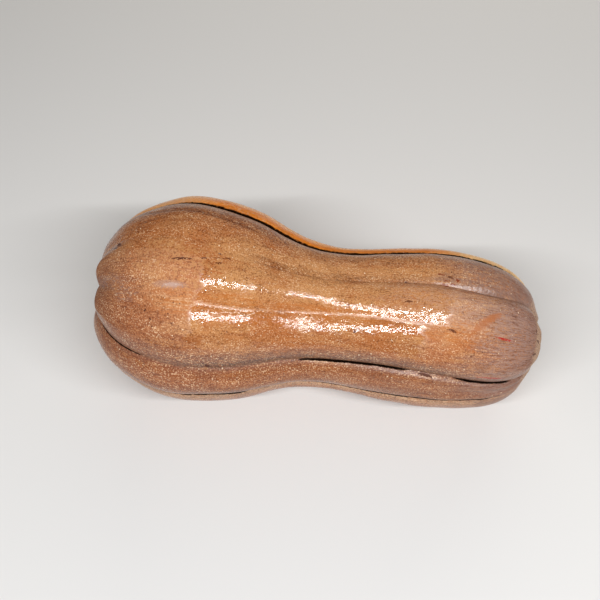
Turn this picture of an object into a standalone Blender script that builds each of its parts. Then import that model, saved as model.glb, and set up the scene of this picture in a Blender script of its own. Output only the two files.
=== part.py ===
"""A ribbed butternut squash lying on its side: one grown piece with its blossom scar and its cut stem.

Metres and degrees, +Z up. The squash lies along X, with the blossom end at -X and the stem end at +X.
The origin is on the table, under the middle of the squash's box.
"""

import bpy
import numpy as np

# The line along the top of the ribs, as (distance from the blossom end, radius). It runs from the blossom
# scar out over the bulb, the waist and the neck, down into the hollow of the stem and over its cut stub.
CREST_LINE = (
    (0.0031, 0.0000), (0.0033, 0.0030), (0.0037, 0.0060), (0.0013, 0.0118), (0.0000, 0.0199),
    (0.0015, 0.0297), (0.0069, 0.0403), (0.0155, 0.0507), (0.0312, 0.0605), (0.0535, 0.0675),
    (0.0770, 0.0659), (0.0990, 0.0606), (0.1210, 0.0512), (0.1430, 0.0463), (0.1650, 0.0469),
    (0.1920, 0.0509), (0.2222, 0.0533), (0.2442, 0.0512), (0.2625, 0.0456), (0.2760, 0.0351),
    (0.2831, 0.0222), (0.2845, 0.0178), (0.2825, 0.0142), (0.2787, 0.0122), (0.2768, 0.0108),
    (0.2787, 0.0094), (0.2815, 0.0085), (0.2823, 0.0068), (0.2819, 0.0035), (0.2817, 0.0000),
)
LENGTH = max(station for station, radius in CREST_LINE)

# Ten furrows run from end to end. Angles are turned round the axis from the furrow that faces up and forward,
# and are read at the stations along the axis. Depths are read at the bulb, the waist and the stem shoulder.
# A valley is the wide hollow between two ribs, and a crease is the sharp fold at the bottom of it.
# The rib is the swelling of the rib that follows the furrow.
FURROW_STATIONS = (0.0, 0.053, 0.099, 0.152, 0.207, 0.256, 0.286)
DEPTH_STATIONS = (0.053, 0.152, 0.260)
FURROWS = (
    {"angles": (-72, -72, -66, -73, -73, -71, -71), "valley": (0.0030, 0.0026, 0.0030),
     "crease": (0.0022, 0.0018, 0.0024), "rib": (0.0000, 0.0000, 0.0000)},
    {"angles": (-38, -34, -28, -34, -34, -35, -48), "valley": (0.0012, 0.0022, 0.0040),
     "crease": (0.0001, 0.0006, 0.0014), "rib": (0.0013, 0.0008, 0.0004)},
    {"angles": (-3, 0, 2, -4, -3, -1, -1), "valley": (0.0032, 0.0026, 0.0002),
     "crease": (0.0000, 0.0000, 0.0001), "rib": (0.0005, 0.0002, 0.0002)},
    {"angles": (38, 39, 41, 38, 35, 42, 45), "valley": (0.0036, 0.0032, 0.0040),
     "crease": (0.0006, 0.0010, 0.0028), "rib": (0.0014, 0.0015, -0.0028)},
    {"angles": (72, 69, 68, 76, 66, 61, 60), "valley": (0.0030, 0.0020, 0.0030),
     "crease": (0.0018, 0.0008, 0.0018), "rib": (-0.0010, 0.0015, -0.0012)},
    {"angles": (110, 109, 108, 108, 107, 108, 108), "valley": (0.0030, 0.0026, 0.0030),
     "crease": (0.0010, 0.0008, 0.0014), "rib": (-0.0002, 0.0001, 0.0003)},
    {"angles": (145, 144, 143, 144, 144, 144, 144), "valley": (0.0042, 0.0036, 0.0042),
     "crease": (0.0014, 0.0010, 0.0018), "rib": (0.0002, -0.0001, -0.0003)},
    {"angles": (180, 181, 180, 180, 181, 181, 181), "valley": (0.0026, 0.0022, 0.0030),
     "crease": (0.0008, 0.0006, 0.0012), "rib": (0.0004, 0.0000, 0.0006)},
    {"angles": (214, 216, 217, 216, 215, 215, 215), "valley": (0.0030, 0.0026, 0.0034),
     "crease": (0.0016, 0.0012, 0.0020), "rib": (0.0000, 0.0000, 0.0000)},
    {"angles": (250, 252, 254, 252, 250, 250, 250), "valley": (0.0024, 0.0022, 0.0030),
     "crease": (0.0008, 0.0006, 0.0012), "rib": (0.0004, 0.0000, -0.0008)},
)
CREASE_WIDTH = 0.085  # share of a rib's width
CREASE_SHARPNESS = 1.2

# Furrows shallow out towards the middle of each end: (radius, share of the full depth)
BLOSSOM_FADE = ((0.000, 0.006, 0.020, 0.040), (0.0, 0.12, 0.75, 1.0))
STEM_FADE = ((0.0098, 0.012, 0.019, 0.030, 0.045), (0.0, 0.30, 0.90, 1.15, 1.0))
STEM_END = 0.248  # stations past this one use the stem's fade

# The dried stem has five blunt angles, which spread where it joins the flesh.
STEM_ANGLES = 5
STEM_FLUTE = 0.0011
STEM_FLUTE_REACH = (0.0045, 0.0072, 0.0105, 0.0125)

# How far past the stem end the last depths hold, and the step that finds the crest line's slope
PAST_END = 0.001
SLOPE_STEP = 2e-5

# Slight unevenness of the grown shape: (height, waves round, phase, waves along, phase)
UNEVEN = (
    (0.00050, 1, 0.6, 2.0, 0.3),
    (0.00045, 2, 2.1, 3.0, 1.1),
    (0.00035, 3, 4.0, 5.0, 2.0),
    (0.00025, 5, 1.3, 7.0, 0.4),
)

# The axis bends a little sideways: (distance from the blossom end, shift towards +Y)
BEND = ((0.0, 0.053, 0.099, 0.157, 0.222, 0.2845), (-0.0016, -0.0011, -0.0002, -0.0019, -0.0002, -0.0015))

# How it lies: which way the zero furrow faces above the horizon on the -Y side, and the dip of the axis
# towards the stem end, with which bulb and neck both touch the table. Each touching rib is pressed flat.
FACING = 54.0
DIP = 5.0
PRESSED = 0.0010

# Places of the mesh's rings along the crest line and of its lines across one rib
RING_SPANS = ((0.0, 0.14, 14), (0.14, 0.84, 32), (0.84, 1.0, 17))
RIB_PLACES = (0.0, 0.05, 0.13, 0.26, 0.42, 0.58, 0.74, 0.87, 0.95)

SKIN_COLOUR = (0.45, 0.18, 0.075, 1.0)
SKIN_ROUGHNESS = 0.42


def clear_scene():
    for obj in list(bpy.data.objects):
        bpy.data.objects.remove(obj)


def spline(knots, values, at):
    """Natural cubic spline through values at the knots, read at the places in at."""
    knots, values, at = (np.asarray(a, float) for a in (knots, values, at))
    gaps = np.diff(knots)
    count = len(knots)
    matrix = np.eye(count)
    right = np.zeros(values.shape)
    slopes = np.diff(values, axis=0) / gaps.reshape(-1, *[1] * (values.ndim - 1))
    for i in range(1, count - 1):
        matrix[i, i - 1 : i + 2] = gaps[i - 1], 2 * (gaps[i - 1] + gaps[i]), gaps[i]
        right[i] = 6 * (slopes[i] - slopes[i - 1])
    bends = np.linalg.solve(matrix, right)
    i = np.clip(np.searchsorted(knots, at) - 1, 0, count - 2)
    column = (slice(None),) + (None,) * (values.ndim - 1)
    after, before, gap = (knots[i + 1] - at)[column], (at - knots[i])[column], gaps[i][column]
    curved = (bends[i] * after**3 + bends[i + 1] * before**3) / (6 * gap)
    first = (values[i] / gap - bends[i] * gap / 6) * after
    return curved + first + (values[i + 1] / gap - bends[i + 1] * gap / 6) * before


def crest_line(places):
    """Points (station, radius) on the crest line and its outward normals, for places from 0 to 1 along it.

    The line is continued past the axis at both ends, so that it crosses the axis squarely."""
    points = np.array(CREST_LINE)
    points = np.vstack([points[2:0:-1] * (1, -1), points, points[-2:-4:-1] * (1, -1)])
    lengths = np.concatenate([[0], np.cumsum(np.hypot(*np.diff(points, axis=0).T))])
    start, end = lengths[2], lengths[-3]
    along = start + np.asarray(places) * (end - start)
    line = spline(lengths, points, along)
    line[:, 1] = np.maximum(line[:, 1], 0)
    tangent = spline(lengths, points, along + SLOPE_STEP) - spline(lengths, points, along - SLOPE_STEP)
    normal = np.stack([-tangent[:, 1], tangent[:, 0]], -1)
    return line, normal / np.linalg.norm(normal, axis=1)[:, None]


def closed_round(columns):
    """The columns with the first one added again at the end, so that the tenth rib meets the first."""
    return np.concatenate([columns, columns[:, :1]], 1)


def at_depth_stations(name, stations):
    """A furrow measure at each station (rows) for each furrow (columns)."""
    rows = np.array([furrow[name] for furrow in FURROWS]).T
    rows = np.vstack([rows[:1], rows, rows[-1:]])
    knots = (0.0, *DEPTH_STATIONS, LENGTH + PAST_END)
    return spline(knots, rows, np.clip(stations, knots[0], knots[-1]))


def relief(stations, radii, ribs, angles):
    """How far the skin stands above the crest line at each ring and rib place, always small."""
    rib = np.minimum(ribs.astype(int), len(FURROWS) - 1)
    share = ribs - rib
    fade = np.interp(radii, *BLOSSOM_FADE)
    fade = np.where(stations > STEM_END, np.interp(radii, *STEM_FADE), fade)[:, None]
    valley = closed_round(at_depth_stations("valley", stations))
    crease = closed_round(at_depth_stations("crease", stations))
    swell = at_depth_stations("rib", stations)
    hollow = valley[:, rib] * (1 - share) ** 3 + valley[:, rib + 1] * share**3
    for columns, distance in ((crease[:, rib], share), (crease[:, rib + 1], 1 - share)):
        hollow = hollow + columns * np.exp(-((distance / CREASE_WIDTH) ** CREASE_SHARPNESS))
    crest = swell[:, rib] * np.sin(np.pi * share) ** 2
    height = (crest - hollow) * fade
    along = stations[:, None] / LENGTH
    for size, waves_round, phase_round, waves_along, phase_along in UNEVEN:
        turn = np.radians(angles) * waves_round + phase_round
        height = height + size * np.sin(turn) * np.sin(np.pi * waves_along * along + phase_along) * fade
    inner, low, high, outer = STEM_FLUTE_REACH
    reach = np.interp(radii, (inner, low, high, outer), (0, 1, 1, 0)) * (stations > STEM_END)
    flutes = 0.5 - 0.5 * np.cos(np.radians(angles) * STEM_ANGLES)
    return height - STEM_FLUTE * reach[:, None] * flutes


def skin_points(places, ribs):
    """Rings of points on the skin: rows are places from 0 to 1 along the crest line, columns are rib places."""
    line, normal = crest_line(places)
    stations, radii = line[:, 0], line[:, 1]
    furrow_angles = np.array([furrow["angles"] for furrow in FURROWS], float).T
    furrow_angles = spline(FURROW_STATIONS, furrow_angles, stations)
    furrow_angles = np.concatenate([furrow_angles, furrow_angles[:, :1] + 360], 1)
    rib = np.minimum(ribs.astype(int), len(FURROWS) - 1)
    share = ribs - rib
    angles = furrow_angles[:, rib] * (1 - share) + furrow_angles[:, rib + 1] * share
    height = relief(stations, radii, ribs, angles)
    radius = radii[:, None] + normal[:, 1:] * height
    station = stations[:, None] + normal[:, :1] * height
    above_horizon = np.radians(FACING - angles)
    shift = spline(*BEND, np.clip(stations, BEND[0][0], BEND[0][-1]))[:, None]
    side = shift - radius * np.cos(above_horizon)
    return np.stack([station, side, radius * np.sin(above_horizon)], -1)


def laid_on_table(points):
    """The points tipped by the dip, lowered until the ribs press flat, and centred over the origin."""
    cos, sin = np.cos(np.radians(DIP)), np.sin(np.radians(DIP))
    x, y, z = np.moveaxis(points, -1, 0)
    x, z = x * cos + z * sin, z * cos - x * sin
    z = np.maximum(z - z.min() - PRESSED, 0)
    x = x - (x.min() + x.max()) / 2
    y = y - (y.min() + y.max()) / 2
    return np.stack([x, y, z], -1)


def skin_faces(rings, around):
    """Quads between neighbouring rings, and a fan of triangles at each pole. Pole points come last."""
    faces = []
    for ring in range(rings - 1):
        for i in range(around):
            j = (i + 1) % around
            near, far = ring * around, (ring + 1) * around
            faces.append((near + i, near + j, far + j, far + i))
    blossom_pole, stem_pole = rings * around, rings * around + 1
    last = (rings - 1) * around
    for i in range(around):
        j = (i + 1) % around
        faces.append((blossom_pole, j, i))
        faces.append((stem_pole, last + i, last + j))
    return faces


def squash_material():
    material = bpy.data.materials.new("squash_skin")
    material.use_nodes = True
    shader = material.node_tree.nodes["Principled BSDF"]
    shader.inputs["Base Color"].default_value = SKIN_COLOUR
    shader.inputs["Roughness"].default_value = SKIN_ROUGHNESS
    shader.inputs["Metallic"].default_value = 0.0
    return material


def make_squash():
    """The whole fruit as one closed solid: skin, blossom scar and the stem's cut stub grown in one piece."""
    spans = [np.linspace(a, b, n, endpoint=False) for a, b, n in RING_SPANS]
    places = np.append(np.concatenate(spans), 1.0)
    ribs = (np.arange(len(FURROWS))[:, None] + np.array(RIB_PLACES)).ravel()
    points = laid_on_table(skin_points(places, ribs))
    rings, around = len(places) - 2, len(ribs)
    poles = points[[0, -1], 0]
    vertices = np.vstack([points[1:-1].reshape(-1, 3), poles])
    mesh = bpy.data.meshes.new("squash")
    mesh.from_pydata(vertices.tolist(), [], skin_faces(rings, around))
    mesh.update()
    mesh.shade_smooth()
    mesh.materials.append(squash_material())
    squash = bpy.data.objects.new("squash", mesh)
    bpy.context.scene.collection.objects.link(squash)
    return squash


def main():
    clear_scene()
    make_squash()


main()
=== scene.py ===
"""A butternut squash lying on its side, seen from above its side, on a pale table in soft light.

Metres, +Z up. The squash lies along X, blossom end at -X, with its box centred over the origin."""
import bpy
import numpy as np
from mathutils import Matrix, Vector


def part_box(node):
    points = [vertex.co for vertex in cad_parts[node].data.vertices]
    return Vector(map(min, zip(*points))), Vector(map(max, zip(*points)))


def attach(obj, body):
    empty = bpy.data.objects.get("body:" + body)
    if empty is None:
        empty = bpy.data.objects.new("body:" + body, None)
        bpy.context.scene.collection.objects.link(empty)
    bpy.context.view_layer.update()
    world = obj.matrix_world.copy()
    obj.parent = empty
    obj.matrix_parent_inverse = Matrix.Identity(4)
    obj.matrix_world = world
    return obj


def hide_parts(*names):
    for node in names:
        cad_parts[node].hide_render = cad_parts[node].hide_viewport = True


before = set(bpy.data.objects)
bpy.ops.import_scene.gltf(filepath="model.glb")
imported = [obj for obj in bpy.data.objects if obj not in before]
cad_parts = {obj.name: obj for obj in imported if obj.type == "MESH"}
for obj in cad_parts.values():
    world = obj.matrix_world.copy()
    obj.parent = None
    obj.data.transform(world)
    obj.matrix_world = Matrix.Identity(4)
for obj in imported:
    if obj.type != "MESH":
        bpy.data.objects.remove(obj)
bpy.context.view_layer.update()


# The fruit's form: a hard-rinded squash that grew as one piece, a round bulb over the seeds and a long solid
# neck, with ten furrows from the blossom scar to the stem. The bulb and the neck lie on two ribs each.

# The crest line as (station, radius), from the middle of the blossom scar to the middle of the stem stub.
CREST_LINE = (
    (0.0031, 0.0000), (0.0033, 0.0030), (0.0037, 0.0060), (0.0013, 0.0118), (0.0000, 0.0199),
    (0.0015, 0.0297), (0.0069, 0.0403), (0.0155, 0.0507), (0.0312, 0.0605), (0.0535, 0.0675),
    (0.0770, 0.0659), (0.0990, 0.0606), (0.1210, 0.0512), (0.1430, 0.0463), (0.1650, 0.0469),
    (0.1920, 0.0509), (0.2222, 0.0533), (0.2442, 0.0512), (0.2625, 0.0456), (0.2760, 0.0351),
    (0.2831, 0.0222), (0.2845, 0.0178), (0.2825, 0.0142), (0.2787, 0.0122), (0.2768, 0.0108),
    (0.2787, 0.0094), (0.2815, 0.0085), (0.2823, 0.0068), (0.2819, 0.0035), (0.2817, 0.0000),
)
LENGTH = max(station for station, radius in CREST_LINE)
# Each furrow's angles round the fruit in degrees, at the furrow stations. Then, at the depth stations, the
# depth of its wide valley, that of its sharp crease, and the swell of the rib that follows it.
FURROW_STATIONS = (0.0, 0.053, 0.099, 0.152, 0.207, 0.256, 0.286)
DEPTH_STATIONS = (0.053, 0.152, 0.260)
FURROWS = (
    {"angles": (-72, -72, -66, -73, -73, -71, -71), "valley": (0.0030, 0.0026, 0.0030),
     "crease": (0.0022, 0.0018, 0.0024), "rib": (0.0000, 0.0000, 0.0000)},
    {"angles": (-38, -34, -28, -34, -34, -35, -48), "valley": (0.0012, 0.0022, 0.0040),
     "crease": (0.0001, 0.0006, 0.0014), "rib": (0.0013, 0.0008, 0.0004)},
    {"angles": (-3, 0, 2, -4, -3, -1, -1), "valley": (0.0032, 0.0026, 0.0002),
     "crease": (0.0000, 0.0000, 0.0001), "rib": (0.0005, 0.0002, 0.0002)},
    {"angles": (38, 39, 41, 38, 35, 42, 45), "valley": (0.0036, 0.0032, 0.0040),
     "crease": (0.0006, 0.0010, 0.0028), "rib": (0.0014, 0.0015, -0.0028)},
    {"angles": (72, 69, 68, 76, 66, 61, 60), "valley": (0.0030, 0.0020, 0.0030),
     "crease": (0.0018, 0.0008, 0.0018), "rib": (-0.0010, 0.0015, -0.0012)},
    {"angles": (110, 109, 108, 108, 107, 108, 108), "valley": (0.0030, 0.0026, 0.0030),
     "crease": (0.0010, 0.0008, 0.0014), "rib": (-0.0002, 0.0001, 0.0003)},
    {"angles": (145, 144, 143, 144, 144, 144, 144), "valley": (0.0042, 0.0036, 0.0042),
     "crease": (0.0014, 0.0010, 0.0018), "rib": (0.0002, -0.0001, -0.0003)},
    {"angles": (180, 181, 180, 180, 181, 181, 181), "valley": (0.0026, 0.0022, 0.0030),
     "crease": (0.0008, 0.0006, 0.0012), "rib": (0.0004, 0.0000, 0.0006)},
    {"angles": (214, 216, 217, 216, 215, 215, 215), "valley": (0.0030, 0.0026, 0.0034),
     "crease": (0.0016, 0.0012, 0.0020), "rib": (0.0000, 0.0000, 0.0000)},
    {"angles": (250, 252, 254, 252, 250, 250, 250), "valley": (0.0024, 0.0022, 0.0030),
     "crease": (0.0008, 0.0006, 0.0012), "rib": (0.0004, 0.0000, -0.0008)},
)
RIB_COUNT = len(FURROWS)
CREASE_WIDTH = 0.085
CREASE_SHARPNESS = 1.2

# How much of the relief is left, as (radii, shares), near the blossom scar and near the stem.
BLOSSOM_FADE = ((0.000, 0.006, 0.020, 0.040), (0.0, 0.12, 0.75, 1.0))
STEM_FADE = ((0.0098, 0.012, 0.019, 0.030, 0.045), (0.0, 0.30, 0.90, 1.15, 1.0))
STEM_END = 0.248
STEM_ANGLES = 5
STEM_FLUTE = 0.0011
STEM_FLUTE_REACH = (0.0045, 0.0072, 0.0105, 0.0125)

# Slow waves over the fruit as (height, waves round it, their phase, half waves along it, their phase).
UNEVEN = (
    (0.00050, 1, 0.6, 2.0, 0.3),
    (0.00045, 2, 2.1, 3.0, 1.1),
    (0.00035, 3, 4.0, 5.0, 2.0),
    (0.00025, 5, 1.3, 7.0, 0.4),
)

# The axis bends sideways, as (stations, shifts). Skin at angle 0 faces FACING degrees over the horizon, the
# fruit dips towards its neck by DIP degrees, and its underside is pressed flat by PRESSED.
BEND = ((0.0, 0.053, 0.099, 0.157, 0.222, 0.2845), (-0.0016, -0.0011, -0.0002, -0.0019, -0.0002, -0.0015))
FACING = 54.0
DIP = 5.0
PRESSED = 0.0010


def spline(knots, values, at):
    """Natural cubic spline: on each gap, the cubic whose bends at both ends make slope and bend run on."""
    knots, values, at = (np.asarray(a, float) for a in (knots, values, at))
    gaps = np.diff(knots)
    matrix = np.eye(len(knots))
    right = np.zeros(values.shape)
    slopes = np.diff(values, axis=0) / gaps.reshape(-1, *[1] * (values.ndim - 1))
    for i in range(1, len(knots) - 1):
        matrix[i, i - 1 : i + 2] = gaps[i - 1], 2 * (gaps[i - 1] + gaps[i]), gaps[i]
        right[i] = 6 * (slopes[i] - slopes[i - 1])
    bends = np.linalg.solve(matrix, right)
    i = np.clip(np.searchsorted(knots, at) - 1, 0, len(knots) - 2)
    column = (slice(None),) + (None,) * (values.ndim - 1)
    after, before, gap = (knots[i + 1] - at)[column], (at - knots[i])[column], gaps[i][column]
    curved = (bends[i] * after**3 + bends[i + 1] * before**3) / (6 * gap)
    first = (values[i] / gap - bends[i] * gap / 6) * after
    return curved + first + (values[i + 1] / gap - bends[i + 1] * gap / 6) * before


def crest_line(places):
    """Points (station, radius), outward normals and lengths along the skin, for places 0 to 1 on the line.

    The line is a spline over its own chord length, continued past the axis at both ends."""
    points = np.array(CREST_LINE)
    points = np.vstack([points[2:0:-1] * (1, -1), points, points[-2:-4:-1] * (1, -1)])
    lengths = np.concatenate([[0], np.cumsum(np.hypot(*np.diff(points, axis=0).T))])
    start, end = lengths[2], lengths[-3]
    along = start + places * (end - start)
    step = 2e-5
    line = spline(lengths, points, along)
    line[:, 1] = np.maximum(line[:, 1], 0)
    tangent = spline(lengths, points, along + step) - spline(lengths, points, along - step)
    normal = np.stack([-tangent[:, 1], tangent[:, 0]], -1)
    return line, normal / np.linalg.norm(normal, axis=1)[:, None], along - start


def furrow_measure(name, stations):
    """A furrow's measure at each station (rows) for each furrow (columns), by spline between its stations."""
    rows = np.array([furrow[name] for furrow in FURROWS], float).T
    if name == "angles":
        return spline(FURROW_STATIONS, rows, stations)
    rows = np.vstack([rows[:1], rows, rows[-1:]])
    knots = (0.0, *DEPTH_STATIONS, LENGTH + 0.001)
    return spline(knots, rows, np.clip(stations, knots[0], knots[-1]))


def closed_round(columns, turn=0):
    """The columns with the first one, plus a turn, added at the end: there the tenth rib meets the first."""
    return np.concatenate([columns, columns[:, :1] + turn], 1)


def relief(stations, radii, rib, share, angles):
    """Height over the crest line: rib swell times a squared sine across the rib, less the furrows on both
    sides, each a cubic valley and an exponential crease, plus slow waves, all fading to the ends, less the
    flutes of the stem, a cosine round it."""
    fade = np.interp(radii, *BLOSSOM_FADE)
    fade = np.where(stations > STEM_END, np.interp(radii, *STEM_FADE), fade)[:, None]
    valley = closed_round(furrow_measure("valley", stations))
    crease = closed_round(furrow_measure("crease", stations))
    hollow = valley[:, rib] * (1 - share) ** 3 + valley[:, rib + 1] * share**3
    for depth, distance in ((crease[:, rib], share), (crease[:, rib + 1], 1 - share)):
        hollow = hollow + depth * np.exp(-((distance / CREASE_WIDTH) ** CREASE_SHARPNESS))
    height = (furrow_measure("rib", stations)[:, rib] * np.sin(np.pi * share) ** 2 - hollow) * fade
    for size, waves_round, phase_round, waves_along, phase_along in UNEVEN:
        turn = np.radians(angles) * waves_round + phase_round
        along = np.pi * waves_along * stations[:, None] / LENGTH + phase_along
        height = height + size * np.sin(turn) * np.sin(along) * fade
    reach = np.interp(radii, STEM_FLUTE_REACH, (0, 1, 1, 0)) * (stations > STEM_END)
    return height - STEM_FLUTE * reach[:, None] * (0.5 - 0.5 * np.cos(np.radians(angles) * STEM_ANGLES))


# Rings run from the blossom pole to the stem pole. Lines crowd towards the furrows, where skin turns most.
RINGS = 250
LINES_PER_RIB = 38
CROWDING = 0.72
places = np.linspace(0, 1, RINGS + 2)
even = np.arange(LINES_PER_RIB) / LINES_PER_RIB
share = np.tile(even - CROWDING * np.sin(2 * np.pi * even) / (2 * np.pi), RIB_COUNT)
rib = np.repeat(np.arange(RIB_COUNT), LINES_PER_RIB)
crest, crest_normal, skin_length = crest_line(places)
stations, radii = crest[:, 0], crest[:, 1]
furrow_angles = closed_round(furrow_measure("angles", stations), 360)
angles = furrow_angles[:, rib] * (1 - share) + furrow_angles[:, rib + 1] * share
height = relief(stations, radii, rib, share, angles)


# Small relief on the skin: a raised vein along the forward furrow, a second shallow crease that forks off the
# back furrow at the blossom end and runs beside it, low dents left by growth, and the flower's corky scar.
VEIN = {"furrow": 2, "height": 0.00018, "half_width": 0.0008, "reach": (0.030, 0.050, 0.195, 0.235)}
SECOND_CREASE = {"rib": 0, "depth": 0.00030, "half_width": 0.0013, "reach": (0.014, 0.026, 0.090, 0.108),
                 "path": ((0.010, 0.020, 0.030, 0.045, 0.075, 0.110), (0.10, 0.28, 0.42, 0.45, 0.44, 0.47))}
# Each ring of the scar as (radius, height, half width).
SCAR_RINGS = ((0.0062, 0.00035, 0.0010), (0.0022, 0.00060, 0.0012))
DENT_SEED = 12
DENT_WAVES = 60
DENT_HEIGHT = 0.00010
DENT_LENGTHS = (0.007, 0.030)
DENT_STRETCH = 2.2
DENT_CROSSINGS = 8
DENT_FADE_RADIUS = 0.03
ROD_RADIUS = 0.055

line_radii = radii[:, None] + crest_normal[:, 1:] * height
rib_width = np.radians(np.diff(furrow_angles, axis=1))[:, rib] * line_radii
signed_share = np.where(share > 0.5, share - 1, share)
nearest_furrow = (rib + (share > 0.5)) % RIB_COUNT
distance_to_furrow = signed_share * rib_width


def ridge(distance, half_width):
    """A bell across a line: e to the minus square of the distance over the half width."""
    return np.exp(-((distance / half_width) ** 2))


vein_reach = np.interp(stations, VEIN["reach"], (0, 1, 1, 0))[:, None]
on_vein = ridge(distance_to_furrow, VEIN["half_width"]) * (nearest_furrow == VEIN["furrow"]) * vein_reach
crease_reach = np.interp(stations, SECOND_CREASE["reach"], (0, 1, 1, 0))[:, None]
path_stations = SECOND_CREASE["path"][0]
on_path = np.clip(stations, path_stations[0], path_stations[-1])
crease_share = spline(*SECOND_CREASE["path"], on_path)[:, None]
crease_distance = (share - crease_share) * rib_width
on_second_crease = ridge(crease_distance, SECOND_CREASE["half_width"]) * crease_reach
on_second_crease = on_second_crease * (rib == SECOND_CREASE["rib"])
scar = sum(size * ridge(radii - radius, width) for radius, size, width in SCAR_RINGS) * (stations < STEM_END)

# The skin as it would lie on a straight rod, so that dents and grain run lengthwise at one size all along it.
rod_skin = np.stack([ROD_RADIUS * np.cos(np.radians(angles)), ROD_RADIUS * np.sin(np.radians(angles)),
                     np.broadcast_to(skin_length[:, None], angles.shape)], -1)
# Low dents: sine waves in seeded directions that cross like ripples, the longer the higher. Their sum grows
# as the root of their number, so it is scaled to what DENT_CROSSINGS of them would give.
random = np.random.default_rng(DENT_SEED)
dents = np.zeros(angles.shape)
for _ in range(DENT_WAVES):
    direction = random.normal(size=3) * (1, 1, 1 / DENT_STRETCH)
    wavelength = random.uniform(*DENT_LENGTHS)
    wave = 2 * np.pi / wavelength * direction / np.linalg.norm(direction)
    dents += np.sin(rod_skin @ wave + random.uniform(0, 2 * np.pi)) * wavelength / DENT_LENGTHS[1]
end_fade = np.clip(radii / DENT_FADE_RADIUS, 0, 1)[:, None]
fine = VEIN["height"] * on_vein - SECOND_CREASE["depth"] * on_second_crease + scar[:, None]
fine = fine + DENT_HEIGHT * dents * np.sqrt(DENT_CROSSINGS / DENT_WAVES) * end_fade


def laid_on_table(height):
    """Points on the table: out from the crest line by the height, turned round the axis, bent and dipped."""
    radius = radii[:, None] + crest_normal[:, 1:] * height
    station = stations[:, None] + crest_normal[:, :1] * height
    above_horizon = np.radians(FACING - angles)
    y = spline(*BEND, np.clip(stations, BEND[0][0], BEND[0][-1]))[:, None] - radius * np.cos(above_horizon)
    upright = radius * np.sin(above_horizon)
    cos, sin = np.cos(np.radians(DIP)), np.sin(np.radians(DIP))
    return np.stack([station * cos + upright * sin, y, upright * cos - station * sin], -1)


plain = laid_on_table(height)
points = laid_on_table(height + fine)
lowest, highest = plain.reshape(-1, 3).min(0), plain.reshape(-1, 3).max(0)
box_low, box_high = (np.array(corner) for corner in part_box("squash"))
centre = (box_low + box_high) / 2 - (lowest + highest) / 2
points[..., :2] += centre[:2]
points[..., 2] = np.maximum(points[..., 2] - lowest[2] - PRESSED, 0)


# The skin's mesh: quads between the rings, and a fan of triangles at each pole.
AROUND = RIB_COUNT * LINES_PER_RIB
ring_points = points[1:-1].reshape(-1, 3)
vertices = np.vstack([ring_points, points[[0, -1], 0]])
near = (np.arange(RINGS - 1)[:, None] * AROUND + np.arange(AROUND)).ravel()
following = (np.arange(RINGS - 1)[:, None] * AROUND + (np.arange(AROUND) + 1) % AROUND).ravel()
quads = np.stack([near, following, following + AROUND, near + AROUND], -1)
edge = np.arange(AROUND)
next_edge = (edge + 1) % AROUND
last_ring = (RINGS - 1) * AROUND
blossom_pole, stem_pole = len(ring_points), len(ring_points) + 1
blossom_fan = np.stack([np.full(AROUND, blossom_pole), next_edge, edge], -1)
stem_fan = np.stack([np.full(AROUND, stem_pole), last_ring + edge, last_ring + next_edge], -1)

mesh = bpy.data.meshes.new("rind")
mesh.from_pydata(vertices.tolist(), [], quads.tolist() + blossom_fan.tolist() + stem_fan.tolist())
mesh.shade_smooth()

# A map of the skin for its markings: across it, the ribs from 0 to 10; up it, the length along the skin.
SKIN_LENGTH = skin_length[-1]
across = (rib + share) / RIB_COUNT
across_next = np.append(across[1:], 1.0)
up = skin_length[1:-1] / SKIN_LENGTH
low_up, high_up = np.repeat(up[:-1], AROUND), np.repeat(up[1:], AROUND)
this_line, next_line = np.tile(across, RINGS - 1), np.tile(across_next, RINGS - 1)
quad_map = np.stack([this_line, low_up, next_line, low_up, next_line, high_up, this_line, high_up], -1)
middle = (across + across_next) / 2
blossom_map = np.stack([middle, 0 * edge, across_next, up[0] + 0 * edge, across, up[0] + 0 * edge], -1)
stem_map = np.stack([middle, 1 + 0 * edge, across, up[-1] + 0 * edge, across_next, up[-1] + 0 * edge], -1)
skin_map = mesh.uv_layers.new(name="skin")
skin_map.data.foreach_set("uv", np.concatenate([quad_map.ravel(), blossom_map.ravel(), stem_map.ravel()]))


def keep_on_points(name, values):
    """Stores one number, or three, for every point of the mesh: the rings' values, then the two poles'."""
    kind, field = ("FLOAT", "value") if values.ndim == 2 else ("FLOAT_VECTOR", "vector")
    inside = values[1:-1].reshape(-1, *values.shape[2:])
    poles = values[[0, -1], 0]
    layer = mesh.attributes.new(name, kind, "POINT")
    layer.data.foreach_set(field, np.concatenate([inside, poles]).astype(np.float32).ravel())


# Where the skin differs, from 0 to 1: in the furrows, grey with bloom and painted shade, in the creases at
# their bottom, painted black as shade, on the second crease, on the vein and on cork. Each crease line as
# (furrow, half width, first station, last station).
CREASE_LINES = (
    (0, 0.0024, 0.002, 0.275), (3, 0.0006, 0.000, 0.040), (3, 0.0010, 0.128, 0.204),
    (3, 0.0007, 0.225, 0.275), (4, 0.0026, 0.004, 0.110), (4, 0.0013, 0.098, 0.275),
    (5, 0.0008, 0.002, 0.275), (6, 0.0009, 0.002, 0.275), (7, 0.0008, 0.002, 0.275),
    (8, 0.0009, 0.002, 0.275), (9, 0.0008, 0.002, 0.275),
)
CREASE_LINE_FADE = 0.012
FURROW_SHADE_HALF_WIDTH = 0.0060
SHADED_DEPTH = 0.003
STEM_CORK_RADII = (0.0105, 0.0125)
BLOSSOM_CORK_RADII = (0.0060, 0.0085)
crease_depth = closed_round(furrow_measure("crease", stations))[:, :RIB_COUNT][:, nearest_furrow]
valley_depth = closed_round(furrow_measure("valley", stations))[:, :RIB_COUNT][:, nearest_furrow]
# The furrows are painted greyer the deeper they are: partly grey bloom, partly painted shade in the hollow.
depth_share = np.clip((valley_depth + 2 * crease_depth - SHADED_DEPTH) / SHADED_DEPTH, 0, 1)
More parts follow.
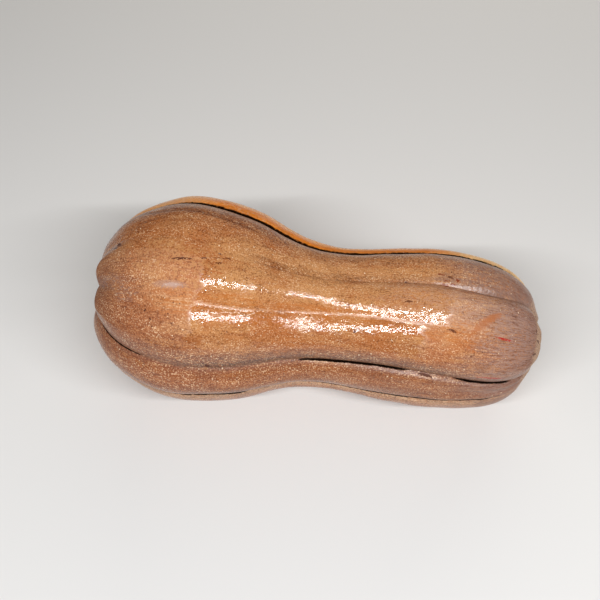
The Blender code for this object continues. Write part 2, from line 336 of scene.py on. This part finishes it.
furrow_bloom_and_shade = ridge(distance_to_furrow, FURROW_SHADE_HALF_WIDTH) * depth_share
crease_shade = np.zeros(angles.shape)
for line_furrow, half_width, first, last in CREASE_LINES:
    inside = np.clip(np.minimum(stations - first, last - stations) / CREASE_LINE_FADE, 0, 1)[:, None]
    line = ridge(distance_to_furrow, half_width) * inside * (nearest_furrow == line_furrow)
    crease_shade = np.maximum(crease_shade, line)
stem_cork = np.interp(radii, STEM_CORK_RADII, (1, 0)) * (stations > STEM_END)
blossom_cork = np.interp(radii, BLOSSOM_CORK_RADII, (1, 0)) * (stations < STEM_END)
cork = np.broadcast_to((stem_cork + blossom_cork)[:, None], angles.shape)
keep_on_points("grain", rod_skin)
keep_on_points("furrow", furrow_bloom_and_shade)
keep_on_points("crease", crease_shade)
keep_on_points("faint_line", on_second_crease)
keep_on_points("vein", on_vein)
keep_on_points("cork", cork)

rind = bpy.data.objects.new("rind", mesh)
bpy.context.scene.collection.objects.link(rind)
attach(rind, "root")
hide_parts("squash")


# The rind's finish: a thin hard skin with a natural wax on it, tan over orange flesh, streaked and speckled
# lengthwise as it stretched in growing, duller and browner towards the ends and sides, which is partly
# painted shade, with grey bloom and painted shade in the hollows, and painted highlights and glints here and
# there.

class Value:
    """A socket of the material being made. Arithmetic on it adds Math nodes, so formulas read as formulas."""

    tree = None

    def __init__(self, socket):
        self.socket = socket

    @classmethod
    def node(cls, kind, settings=None, inputs=None, output=0):
        """One node: its settings are set first, then its sockets get numbers, colours or other Values."""
        node = cls.tree.nodes.new(kind)
        for name, setting in (settings or {}).items():
            setattr(node, name, setting)
        for name, given in (inputs or {}).items():
            if isinstance(given, Value):
                cls.tree.links.new(given.socket, node.inputs[name])
            else:
                node.inputs[name].default_value = given
        return Value(node.outputs[output])

    def math(self, operation, other, reflected=False):
        """One Math node on this value and another. Reflected, the other comes first, as in 1 - mask."""
        first, second = (other, self) if reflected else (self, other)
        return Value.node("ShaderNodeMath", {"operation": operation}, {0: first, 1: second})

    def __add__(self, other):
        return self.math("ADD", other)

    def __sub__(self, other):
        return self.math("SUBTRACT", other)

    def __rsub__(self, other):
        return self.math("SUBTRACT", other, reflected=True)

    def __mul__(self, other):
        return self.math("MULTIPLY", other)

    def __truediv__(self, other):
        return self.math("DIVIDE", other)

    def __rtruediv__(self, other):
        return self.math("DIVIDE", other, reflected=True)

    __radd__ = __add__
    __rmul__ = __mul__

    def above(self, low, high):
        """0 below low, 1 above high, and a smooth step between them. With low over high it steps down.

        The smooth step keeps itself within 0 and 1, so the node's own clamp stays off."""
        inputs = {"Value": self, "From Min": low, "From Max": high, "To Min": 0.0, "To Max": 1.0}
        if low > high:
            inputs.update({"From Min": high, "From Max": low, "To Min": 1.0, "To Max": 0.0})
        settings = {"interpolation_type": "SMOOTHSTEP", "clamp": False}
        return Value.node("ShaderNodeMapRange", settings, inputs)

    def in_units(self, across, along, seed):
        """The vector, its first two parts counted in across and its third in along, moved on by a seed."""
        inputs = {0: self, 1: (1 / across, 1 / across, 1 / along), 2: (seed, 1.7 * seed, 0.6 * seed)}
        return Value.node("ShaderNodeVectorMath", {"operation": "MULTIPLY_ADD"}, inputs)


def painted(under, paint, amount):
    """The colour under, covered by the colour paint as far as amount says."""
    under = under if isinstance(under, Value) else (*under, 1.0)
    return Value.node("ShaderNodeMix", {"data_type": "RGBA"}, {0: amount, 6: under, 7: (*paint, 1.0)}, 2)


def cloudy(vector, across, along, seed, detail=2.0, roughness=0.5):
    """Soft noise round 0.5, mostly from 0.25 to 0.75, with waves of a given size across and along."""
    place = vector.in_units(across, along, seed)
    inputs = {"Vector": place, "Scale": 1.0, "Detail": detail, "Roughness": roughness}
    return Value.node("ShaderNodeTexNoise", {}, inputs)


def specks(vector, spacing, radius, chance, seed):
    """Round specks, one to each cell of a given spacing, there in a share of the cells as chance says.

    Each is of 0.4 to 1.4 radii, and fades out between 0.6 and 1.1 times its own size."""
    inputs = {"Vector": vector.in_units(spacing, spacing, seed), "Scale": 1.0}
    distance = Value.node("ShaderNodeTexVoronoi", {}, inputs)
    cell = Value.node("ShaderNodeTexVoronoi", {}, inputs, 1)
    draw, spread = (Value.node("ShaderNodeSeparateColor", {}, {0: cell}, part) for part in (0, 1))
    size = (spread + 0.4) * (radius / spacing)
    return (distance / size).above(1.1, 0.6) * draw.above(1 - chance, 1 - chance * 0.8)


def attribute(name, output=2):
    """What the mesh keeps on its points under a name: output 1 is its three numbers, 2 its single one."""
    return Value.node("ShaderNodeAttribute", {"attribute_name": name}, {}, output)


finish = bpy.data.materials.new("waxy rind")
finish.use_nodes = True
Value.tree = finish.node_tree
MM = 0.001
body = Value.node("ShaderNodeTexCoord", {}, {}, 3)
grain = attribute("grain", 1)
furrow, crease, faint_line, vein, cork = (
    attribute(name) for name in ("furrow", "crease", "faint_line", "vein", "cork"))
on_map = Value.node("ShaderNodeUVMap", {"uv_map": "skin"})
ribs = Value.node("ShaderNodeSeparateXYZ", {}, {0: on_map}) * RIB_COUNT
along = Value.node("ShaderNodeSeparateXYZ", {}, {0: on_map}, 1) * (SKIN_LENGTH / MM)

TAN = (0.430, 0.150, 0.047)
PALE_TAN = (0.575, 0.275, 0.105)
ORANGE_BROWN = (0.42, 0.125, 0.030)
DULL_BROWN = (0.27, 0.085, 0.028)
FLANK_BROWN = (0.27, 0.072, 0.015)
UMBER = (0.19, 0.055, 0.018)
DARK_BROWN = (0.10, 0.022, 0.006)
GREY_BROWN = (0.17, 0.085, 0.058)
LILAC = (0.34, 0.200, 0.155)
CREAM = (0.80, 0.53, 0.32)
PALE_CREAM = (0.92, 0.70, 0.48)
ORANGE = (0.74, 0.21, 0.006)
ORANGE_STREAK = (0.52, 0.165, 0.030)
RUSSET = (0.40, 0.085, 0.010)
GOLD = (0.95, 0.50, 0.10)
PALE_GOLD = (0.95, 0.66, 0.32)
MAUVE = (0.27, 0.150, 0.108)
PINK_TAN = (0.54, 0.300, 0.185)
SHADE = (0.010, 0.004, 0.002)
CORK = (0.40, 0.29, 0.18)

# The noises that everything on the skin is broken up by, from thumb wide patches down to flecks.
patches = cloudy(body, 30 * MM, 30 * MM, 0.0, 3.0, 0.55)
clumps = cloudy(grain, 7 * MM, 16 * MM, 19.0, 2.0, 0.6)
smears = cloudy(grain, 5 * MM, 30 * MM, 3.0, 3.0, 0.6)
streaks = cloudy(grain, 1.0 * MM, 9 * MM, 7.0, 3.0, 0.7)
fibres = cloudy(grain, 0.6 * MM, 2.6 * MM, 11.0, 2.0, 0.7)
mottle = cloudy(body, 2.4 * MM, 2.4 * MM, 5.0, 3.0, 0.75)
flecks = cloudy(grain, 0.7 * MM, 0.9 * MM, 13.0, 1.0, 0.7)

# How far noise pushes the edges of zones to and fro: across, in ribs, and along the skin, in mm.
stray_ribs = (patches - 0.5) * 0.7 + (mottle - 0.5) * 0.15
stray_along = (smears - 0.5) * 70.0 + (patches - 0.5) * 50.0


def zone(ribs_from, ribs_to, soft_ribs, length_from, length_to, soft_length, stray=1.0):
    """1 between two places across the ribs and two lengths in mm along the skin, fading to 0 outside them.

    Noise pushes its edges to and fro, by as much of the stray ribs and mm as stray says."""
    at_rib, at_length = ribs + stray_ribs * stray, along + stray_along * stray
    sides = at_rib.above(ribs_from - soft_ribs, ribs_from), at_rib.above(ribs_to + soft_ribs, ribs_to)
    start = at_length.above(length_from - soft_length, length_from)
    return sides[0] * sides[1] * start * at_length.above(length_to + soft_length, length_to)


# The forward ribs, which face the light, keep a smooth waxy skin and are painted paler, partly as painted
# light.
# Round them the skin is weathered: flecked and streaked, and browner, partly as painted shade on the sides
# away from the light.
smooth = zone(1.15, 2.35, 0.75, 100, 280, 60)
weathered_and_shaded = 1.0 - smooth
colour = painted(TAN, PALE_TAN, patches.above(0.40, 0.62) * (0.30 + 0.55 * smooth))
colour = painted(colour, ORANGE_BROWN, smears.above(0.44, 0.66) * 0.55)
colour = painted(colour, DULL_BROWN, weathered_and_shaded * (0.20 + 0.9 * patches.above(0.38, 0.65)) * 0.45)
umber_smears = (0.25 + 0.75 * weathered_and_shaded) * smears.above(0.50, 0.60) * streaks.above(0.36, 0.58)
colour = painted(colour, UMBER, umber_smears * 0.52)

# Broad stains, with painted shade, painted glints and painted highlights on the edges among them, each with
# its place as zone takes it, its colour, its cover and the noise that breaks it up.
STAINS = (
    ((1.84, 1.99, 0.14, 105, 280, 30), ORANGE_BROWN, 0.40, streaks),
    ((2.07, 2.24, 0.10, 105, 280, 30), ORANGE_BROWN, 0.45, streaks),
    # Darker low on the forward rib: partly a brown stain, partly painted shade.
    ((2.55, 3.00, 0.30, 20, 330, 30), DULL_BROWN, 0.45, smears),
    ((0.74, 0.93, 0.08, 150, 262, 20, 0.2), PALE_TAN, 0.80, fibres),
    ((0.93, 1.03, 0.07, 160, 240, 40, 0.2), DARK_BROWN, 0.70, fibres),
    ((1.00, 1.08, 0.08, 215, 275, 30, 0.2), DULL_BROWN, 0.60, mottle),
    # The grey and black bands along the lower furrow, this row and the next, are painted shade under the rib
    # above.
    ((2.80, 2.99, 0.18, 50, 262, 30, 0.2), GREY_BROWN, 0.90, fibres),
    ((2.90, 3.00, 0.07, 40, 262, 20, 0.2), SHADE, 0.65, fibres),
    ((3.00, 3.08, 0.05, 30, 190, 20, 0.2), LILAC, 0.80, mottle),
    # Painted shade along the lower furrow towards the stem.
    ((2.88, 3.10, 0.12, 225, 335, 30, 0.2), GREY_BROWN, 0.80, fibres),
    # A cream line just under the lower furrow is a painted glint.
    ((3.03, 3.06, 0.02, 186, 236, 8, 0.2), CREAM, 0.80, streaks),
    ((3.02, 3.10, 0.03, 230, 262, 8, 0.2), LILAC, 0.90, mottle),
    # Another cream line just under the lower furrow, nearer the stem, is a painted glint.
    ((3.04, 3.08, 0.02, 256, 325, 8, 0.2), CREAM, 0.70, mottle),
    # Greyer beside the back furrow: partly a grey stain, partly painted shade on the skin turned from the
    # light.
    ((0.04, 0.30, 0.25, 30, 330, 40), GREY_BROWN, 0.70, fibres),
    # A cream band along the lower rim: a painted highlight on the edge.
    ((4.05, 4.20, 0.08, 60, 400, 20, 0.2), CREAM, 0.65, mottle),
    ((4.20, 4.60, 0.10, 60, 400, 20, 0.2), ORANGE_BROWN, 0.70, mottle),
    # A cream edge on the rib at the blossom end: partly the rib's pale edge, partly a painted highlight.
    ((3.32, 3.60, 0.05, 8, 66, 8, 0.2), CREAM, 0.75, mottle),
    # A cream band round the stem end at the outline: partly cracked skin, partly a painted highlight.
    ((-1.0, 11.0, 0.10, 337, 352, 5, 0.2), CREAM, 0.85, mottle),
    # Darker on the lower flank and at the blossom end, these four rows: partly brown skin, partly painted
    # shade.
    ((3.10, 3.85, 0.20, 20, 400, 10, 0.2), DULL_BROWN, 0.75, smears),
    ((1.75, 3.00, 0.35, 10, 56, 25), DULL_BROWN, 0.85, fibres),
    ((2.20, 3.95, 0.10, 0, 90, 30, 0.2), FLANK_BROWN, 0.75, mottle),
    ((3.06, 3.95, 0.10, 60, 300, 40, 0.2), FLANK_BROWN, 0.70, mottle),
    ((0.30, 1.20, 0.20, 175, 255, 30), PALE_TAN, 0.40, mottle),
    ((1.20, 1.75, 0.20, 175, 290, 30), PALE_TAN, 0.60, mottle),
    ((1.80, 2.05, 0.10, 20, 48, 10), LILAC, 0.60, mottle),
    ((0.30, 1.50, 0.60, 288, 500, 45), LILAC, 0.85, fibres),
    ((1.50, 3.00, 0.60, 310, 500, 45), LILAC, 0.85, fibres),
    ((4.60, 8.60, 0.40, -10, 400, 10), ORANGE_BROWN, 0.65, smears),
)
for place, paint, cover, noise in STAINS:
    colour = painted(colour, paint, zone(*place) * noise.above(0.30, 0.62) * cover)
# The vein is painted paler: partly its own pale colour, partly a painted glint along its ridge.
colour = painted(colour, CREAM, vein * (0.08 + 0.34 * smears.above(0.40, 0.58)))

# Over all of it lies a fine grain: lengthwise streaks and fibres, mottling, and flecks both dark and pale.
colour = painted(colour, DARK_BROWN, streaks.above(0.52, 0.66) * (0.24 + 0.14 * weathered_and_shaded))
colour = painted(colour, PALE_TAN, streaks.above(0.46, 0.34) * (0.24 + 0.16 * weathered_and_shaded))
colour = painted(colour, DARK_BROWN, mottle.above(0.54, 0.68) * (0.12 + 0.30 * clumps.above(0.48, 0.62)))
colour = painted(colour, DARK_BROWN, fibres.above(0.54, 0.66) * (0.10 + 0.38 * clumps.above(0.46, 0.62)))
pale_share = 0.24 + 0.10 * weathered_and_shaded + 0.44 * clumps.above(0.56, 0.40)
dark_share = 0.26 + 0.20 * weathered_and_shaded + 0.40 * clumps.above(0.42, 0.60)
# The pale flecks are partly pale flecks of the skin, partly painted glints on its tiny bumps.
colour = painted(colour, CREAM, flecks.above(0.57, 0.64) * pale_share)
colour = painted(colour, DARK_BROWN, flecks.above(0.43, 0.36) * dark_share)

# Stains that lie over the grain: clean orange streaks beside the vein, and the mauve bloom of the stem end
# with a pale edge at the outline, partly cracked skin and partly a painted highlight.
CLEAN_STAINS = (
    ((1.84, 1.99, 0.10, 104, 280, 30, 0.4), ORANGE_STREAK, 0.55, streaks),
    ((2.07, 2.20, 0.08, 104, 280, 30, 0.4), ORANGE_STREAK, 0.60, streaks),
    ((1.15, 1.80, 0.20, 78, 132, 20), PALE_TAN, 0.60, mottle),
    ((1.10, 1.90, 0.30, 240, 300, 20), PINK_TAN, 0.60, fibres),
    ((-1.0, 4.20, 0.30, 318, 500, 30, 0.4), MAUVE, 0.90, flecks),
    ((-1.0, 4.20, 0.30, 305, 500, 36, 0.4), DARK_BROWN, 0.50, streaks),
    ((-1.0, 4.20, 0.30, 312, 500, 36, 0.4), LILAC, 0.80, fibres),
    ((0.06, 1.00, 0.20, 285, 500, 30, 0.4), MAUVE, 0.80, mottle),
    # The cream band round the stem end at the outline: partly cracked skin, partly a painted highlight.
    ((-1.0, 11.0, 0.05, 335, 347, 8, 0.2), CREAM, 0.80, flecks),
    ((0.94, 1.06, 0.06, 268, 352, 10, 0.2), MAUVE, 0.55, fibres),
    ((1.92, 2.10, 0.12, 18, 60, 14), MAUVE, 0.70, fibres),
)
for place, paint, cover, noise in CLEAN_STAINS:
    colour = painted(colour, paint, zone(*place) * noise.above(0.45, 0.60) * cover)

# The ribs at the back turned orange in the sun, with cream and brown dashes. Along their crests at the
# outline, gold and pale gold are a painted highlight where the edge catches the light.
back = ribs.above(8.6, 9.2) + ribs.above(0.03, 0.0)
gold_end_highlights = zone(9.62, 10.0, 0.20, 285, 340, 30, 0.4) + zone(9.62, 10.0, 0.20, 20, 80, 45, 0.4) * 0.5
colour = painted(colour, ORANGE, back * (0.80 + 0.5 * smears).math("MINIMUM", 0.98))
gold_crest_highlight = zone(9.20, 9.74, 0.05, 30, 340, 20, 0.2)
colour = painted(colour, GOLD, gold_crest_highlight * (0.20 + 0.5 * mottle.above(0.44, 0.60)))
colour = painted(colour, PALE_GOLD, gold_end_highlights * (0.55 + 0.4 * mottle.above(0.42, 0.58)))
colour = painted(colour, CREAM, zone(9.84, 9.91, 0.02, 70, 145, 20, 0.2) * mottle.above(0.56, 0.36) * 0.45)
colour = painted(colour, RUSSET, back * fibres.above(0.50, 0.60) * (0.55 - 0.35 * gold_end_highlights))

# Specks over all of it, then the furrows' grey bloom and painted shade, a dark line along the second crease,
# partly painted shade, and the painted shade in the creases, broken up by noise.
# The pale specks are partly lenticels, partly painted glints on the skin's tiny bumps.
pale_specks = specks(body, 2.8 * MM, 0.38 * MM, 0.55, 9.0)
dark_specks = specks(body, 3.4 * MM, 0.42 * MM, 0.40, 2.0) * patches.above(0.40, 0.54)
speck_share = 0.30 + 0.20 * weathered_and_shaded + 0.45 * clumps.above(0.44, 0.58)
colour = painted(colour, PALE_CREAM, pale_specks * speck_share)
colour = painted(colour, DARK_BROWN, dark_specks * 0.9)
colour = painted(colour, GREY_BROWN, furrow * smears.above(0.35, 0.55) * 0.35)
colour = painted(colour, DARK_BROWN, faint_line * (0.45 + 0.5 * fibres.above(0.42, 0.56)))
# The creases are painted near-black: painted shade where the furrows close.
painted_crease_shade = (crease * (1.6 * mottle + 1.6 * streaks - 0.6)).above(0.24, 0.50)
colour = painted(colour, SHADE, painted_crease_shade * 0.97)
colour = painted(colour, CORK, cork)

# Marks of its life in the field: scratches, pits, rubbed and scabbed spots, and a few painted glints and a
# painted sheen. Each is a tapering stroke between two places on the skin, as (rib, length in mm), with its
# half width in mm, its colour and its cover.
RED = (0.38, 0.014, 0.006)
RUBBED = (0.40, 0.125, 0.035)
RUST = (0.20, 0.035, 0.008)
SHEEN = (0.52, 0.38, 0.34)
PIT = (0.070, 0.012, 0.003)
MARKS = (
    ((1.43, 95), (1.36, 107), 0.60, PIT, 0.90), ((1.30, 112), (1.27, 115), 0.45, PIT, 0.80),
    ((1.23, 119), (1.18, 125), 0.45, DARK_BROWN, 0.80), ((1.32, 120), (1.28, 124), 0.60, DARK_BROWN, 0.90),
    ((1.12, 122), (1.12, 123), 0.50, PIT, 0.80), ((1.16, 126), (1.15, 128), 0.60, DARK_BROWN, 0.80),
    ((1.47, 119), (1.46, 125), 0.55, RUBBED, 0.90), ((2.92, 122), (2.96, 123), 1.10, PIT, 1.0),
    ((2.23, 82), (2.23, 82), 0.75, PIT, 1.0), ((1.05, 53), (1.13, 56), 1.20, PIT, 0.95),
    ((1.14, 50), (1.18, 54), 0.90, DARK_BROWN, 0.9), ((2.34, 86), (2.34, 86), 0.70, PIT, 0.9),
    ((2.42, 88), (2.42, 88), 0.60, PIT, 0.9), ((2.02, 297), (2.05, 308), 0.45, RED, 1.0),
    ((2.80, 290), (2.78, 308), 0.60, RED, 0.6), ((3.03, 254), (3.05, 262), 0.80, PIT, 0.9),
    ((2.01, 281), (1.60, 294), 2.40, RUBBED, 0.60), ((1.74, 287), (1.55, 297), 2.60, RUBBED, 0.60),
    # The two cream strokes at the end of the vein, on this line and the next, are painted glints.
    ((2.18, 232), (2.16, 250), 1.10, RUBBED, 0.85), ((2.02, 241), (2.04, 245), 0.60, CREAM, 0.8),
    ((2.05, 249), (2.06, 254), 0.60, CREAM, 0.8),
    ((2.27, 280), (2.29, 281), 0.70, RUBBED, 1.00), ((2.32, 283), (2.34, 284), 1.00, RUBBED, 1.00),
    ((2.35, 284), (2.36, 284), 0.50, PIT, 0.80), ((2.41, 282), (2.41, 283), 0.60, DARK_BROWN, 0.80),
    # The lilac and sheen strokes on the forward rib are a painted dull highlight.
    ((1.84, 87), (1.78, 103), 2.60, LILAC, 0.45), ((1.83, 92), (1.79, 101), 1.40, SHEEN, 0.45),
    ((1.94, 334), (2.00, 338), 0.70, PIT, 0.9), ((2.29, 328), (2.29, 333), 0.60, PIT, 0.8),
    ((1.70, 330), (1.74, 332), 0.80, DARK_BROWN, 0.8), ((0.83, 265), (0.85, 267), 0.70, DARK_BROWN, 0.8),
    ((0.87, 270), (0.88, 271), 0.80, RUST, 1.0), ((0.96, 267), (0.97, 269), 0.70, RUST, 0.9),
    ((0.92, 263), (0.92, 264), 0.60, RUST, 0.8), ((0.99, 262), (1.00, 264), 0.90, RUST, 0.9),
    ((0.80, 258), (0.81, 262), 0.50, RUST, 0.7), ((1.10, 272), (1.11, 282), 0.60, RUST, 0.5),
    ((1.00, 238), (1.02, 240), 0.80, PIT, 0.9), ((1.56, 240), (1.55, 243), 0.80, DARK_BROWN, 0.8),
    ((1.75, 205), (1.75, 205), 0.60, PIT, 0.9), ((2.29, 211), (2.29, 211), 0.80, PIT, 0.9),
    ((2.03, 268), (2.05, 271), 0.90, DARK_BROWN, 0.9), ((1.83, 239), (1.83, 240), 0.60, DARK_BROWN, 0.8),
)
NOT_QUITE_ZERO = (0, 1e-6)
frayed = {0: ribs + (flecks - 0.5) * 0.06, 1: along + (mottle - 0.5) * 6.0}
skin_place = Value.node("ShaderNodeCombineXYZ", {}, frayed)
ragged = (flecks - 0.5) * 2.0


def stroke(start, end, half_width):
    """1 inside an ellipse with its long axis from start to end, which noise makes ragged, and 0 outside."""
    middle = (np.array(start) + np.array(end)) / 2
    local_rib = 2 * np.pi / RIB_COUNT * np.interp(middle[1] * MM, skin_length, radii) / MM
    run = (np.array(end) - np.array(start)) * (local_rib, 1) + NOT_QUITE_ZERO
    length = np.hypot(*run)
    across_run, along_run = run / length
    half_length = length / 2 + half_width
    lengthwise = (local_rib * across_run / half_length, along_run / half_length, 0)
    crosswise = (-local_rib * along_run / half_width, across_run / half_width, 0)
    offset = Value.node("ShaderNodeVectorMath", {"operation": "SUBTRACT"}, {0: skin_place, 1: (*middle, 0)})
    parts = [Value.node("ShaderNodeVectorMath", {"operation": "DOT_PRODUCT"}, {0: offset, 1: axis}, 1)
             for axis in (lengthwise, crosswise)]
    return (parts[0] * parts[0] + parts[1] * parts[1] + ragged).above(1.35, 0.55)


pits = 0.0
for start, end, half_width, paint, cover in MARKS:
    here = stroke(start, end, half_width)
    colour = painted(colour, paint, here * cover)
    if paint is PIT:
        pits = here + pits

# The skin's finest relief, in mm: dimples, pores, ripples, the grain, cracks in the cork, specks and pits.
dimples = cloudy(body, 5.0 * MM, 5.0 * MM, 21.0, 1.0)
pores = cloudy(body, 1.9 * MM, 1.9 * MM, 23.0, 1.0)
ripples = cloudy(grain, 4.5 * MM, 1.5 * MM, 25.0, 1.0)
cork_cracks = cloudy(body, 0.9 * MM, 0.9 * MM, 31.0, 3.0, 0.7)
relief_mm = dimples * 0.28 + pores * 0.22 + ripples * 0.12 + fibres * 0.02 + streaks * 0.03 + flecks * 0.03
relief_mm = relief_mm - dark_specks * 0.08 + pale_specks * 0.06 - pits * 0.08 + cork * cork_cracks * 0.35

WAX_IOR = 1.50
WAX_SHINE = 0.60
WAX_ROUGHNESS = 0.06
shader = finish.node_tree.nodes["Principled BSDF"]
shader.inputs["IOR"].default_value = WAX_IOR
shader.inputs["Specular IOR Level"].default_value = WAX_SHINE
bump = Value.node("ShaderNodeBump", {}, {"Strength": 1.0, "Distance": MM, "Height": relief_mm})

# Places on the two glossy ribs where the wax is rubbed off, with how much, so that the rows of glints break.
RUBBED_OFF = (
    ((1.30, 2.02, 0.05, 30, 110, 4, 0.2), 0.70), ((1.30, 2.02, 0.05, 138, 144, 4, 0.2), 0.10),
    ((2.06, 2.60, 0.05, 30, 107, 4, 0.2), 0.70), ((2.06, 2.60, 0.05, 155, 188, 6, 0.2), 0.04),
    ((2.02, 2.60, 0.05, 256, 400, 6, 0.2), 0.75), ((1.30, 2.60, 0.05, 272, 400, 8, 0.2), 0.75),
)
dull = smears.above(0.44, 0.60) * 0.05 + mottle.above(0.45, 0.62) * 0.08 + weathered_and_shaded * 0.16
for place, amount in RUBBED_OFF:
    dull = dull + zone(*place) * amount
roughness = dull + furrow * 0.20 + vein * 0.25 + painted_crease_shade * 0.6 + cork * 0.3 + pits * 0.4
roughness = roughness + WAX_ROUGHNESS

# The painted shade in the creases gives back almost no light: black with Metallic at 1 has no pale shine of
# its own.
varied = {"Base Color": colour, "Roughness": roughness, "Metallic": painted_crease_shade, "Normal": bump}
for name, given in varied.items():
    finish.node_tree.links.new(given.socket, shader.inputs[name])
mesh.materials.append(finish)


# The table and the light: a pale matte top, a long soft strip by the camera that draws the two rows of waxy
# glints, a broad softbox behind and above, and a pale room.
HALF_TABLE = 3.0
TABLE_COLOUR = (0.74, 0.73, 0.71, 1.0)
TABLE_ROUGHNESS = 0.9
table = bpy.data.meshes.new("table")
corners = [(x * HALF_TABLE, y * HALF_TABLE, 0) for x, y in ((-1, -1), (1, -1), (1, 1), (-1, 1))]
table.from_pydata(corners, [], [(0, 1, 2, 3)])
table_top = bpy.data.objects.new("table_top", table)
bpy.context.scene.collection.objects.link(table_top)
plain_finish = bpy.data.materials.new("pale table")
plain_finish.use_nodes = True
plain_shader = plain_finish.node_tree.nodes["Principled BSDF"]
plain_shader.inputs["Base Color"].default_value = TABLE_COLOUR
plain_shader.inputs["Roughness"].default_value = TABLE_ROUGHNESS
table.materials.append(plain_finish)

# The camera's turn from -Y and its height over the table, in degrees, its distance from the point that it
# looks at, and its lens, as the sensor in mm, and the focal length and the picture's width in pixels.
AZIMUTH, ELEVATION, DISTANCE = 5.38, 54.0, 0.6188
TARGET = np.array((-0.0133, 0.0129, 0.055))
SENSOR, FOCAL_PIXELS, FRAME_PIXELS = 36.0, 930.0, 600.0


def direction(azimuth, elevation):
    """The unit vector turned from -Y by the azimuth and up from level by the elevation, both in degrees."""
    azimuth, elevation = np.radians(azimuth), np.radians(elevation)
    level = np.cos(elevation)
    return np.array((np.sin(azimuth) * level, -np.cos(azimuth) * level, np.sin(elevation)))


def look_at(thing, place, target):
    """Puts a camera or lamp at a place, with its -Z towards the target and its X level."""
    back = np.array(place, float) - np.array(target, float)
    back /= np.linalg.norm(back)
    right = np.cross((0, 0, 1), back)
    right /= np.linalg.norm(right)
    up = np.cross(back, right)
    matrix = np.eye(4)
    matrix[:3, 0], matrix[:3, 1], matrix[:3, 2], matrix[:3, 3] = right, up, back, place
    thing.matrix_world = matrix.T.tolist()


camera_data = bpy.data.cameras.new("camera")
camera_data.sensor_width = SENSOR
camera_data.lens = FOCAL_PIXELS / FRAME_PIXELS * SENSOR
camera = bpy.data.objects.new("camera", camera_data)
bpy.context.scene.collection.objects.link(camera)
bpy.context.scene.camera = camera
look_at(camera, TARGET + direction(AZIMUTH, ELEVATION) * DISTANCE, TARGET)


def softbox(name, azimuth, elevation, distance, width, depth, power, colour):
    """A rectangular lamp that faces the squash from an azimuth and an elevation in degrees."""
    lamp = bpy.data.lights.new(name, "AREA")
    lamp.shape = "RECTANGLE"
    lamp.size, lamp.size_y = width, depth
    lamp.energy, lamp.color = power, colour
    box = bpy.data.objects.new(name, lamp)
    bpy.context.scene.collection.objects.link(box)
    look_at(box, TARGET + direction(azimuth, elevation) * distance, TARGET)
    return box


softbox("strip by the camera", azimuth=9.0, elevation=53.5, distance=0.85,
        width=1.3, depth=0.033, power=11.0, colour=(0.97, 0.98, 1.0))
fill = softbox("back softbox", azimuth=172.0, elevation=20.0, distance=1.3,
               width=1.4, depth=0.4, power=8.0, colour=(1.0, 0.94, 0.86))
fill.visible_glossy = False
ROOM_COLOUR = (1.0, 0.97, 0.93, 1.0)
ROOM_STRENGTH = 0.05
world = bpy.data.worlds.new("pale room")
world.use_nodes = True
background = world.node_tree.nodes["Background"]
background.inputs["Color"].default_value = ROOM_COLOUR
background.inputs["Strength"].default_value = ROOM_STRENGTH
bpy.context.scene.world = world
bpy.context.scene.view_settings.view_transform = "Standard"
